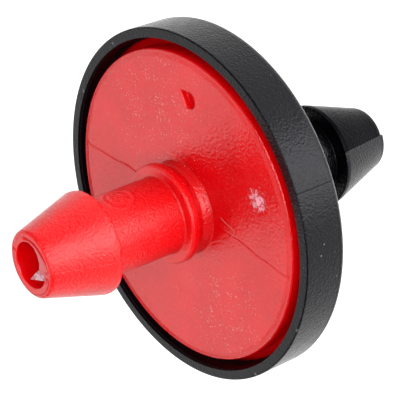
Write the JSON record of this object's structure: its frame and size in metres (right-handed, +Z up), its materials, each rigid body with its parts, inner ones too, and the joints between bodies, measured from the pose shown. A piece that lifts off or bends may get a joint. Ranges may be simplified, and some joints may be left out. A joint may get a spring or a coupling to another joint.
{
  "type": "drip emitter",
  "caption": "Pressure-compensating button drip emitter: barbed cup, silicone diaphragm and barbed labyrinth cover for an irrigation line.",
  "frame": {"origin": "on the axis, on the annular seat under the cup's hub, which comes down on the outside of the supply pipe", "axes": "+Z up the common axis from the inlet barb to the outlet barb, the way the water flows; +X lies in the parting plane of the cover's mould"},
  "size_m": [0.02, 0.02, 0.0239],
  "materials": {
    "black_plastic": "spark-eroded mould texture, satin",
    "silicone": "smooth milky silicone",
    "red_plastic": "semi-gloss moulded"
  },
  "bodies": {
    "housing": {"barbed_cup": "black_plastic", "outlet_cover": "red_plastic"},
    "diaphragm": {"diaphragm": "silicone"}
  },
  "joints": [
    {"name": "diaphragm_float", "type": "slide", "parent": "housing", "child": "diaphragm", "axis": [0, 0, 1], "range_m": [0, 0.00012]}
  ]
}
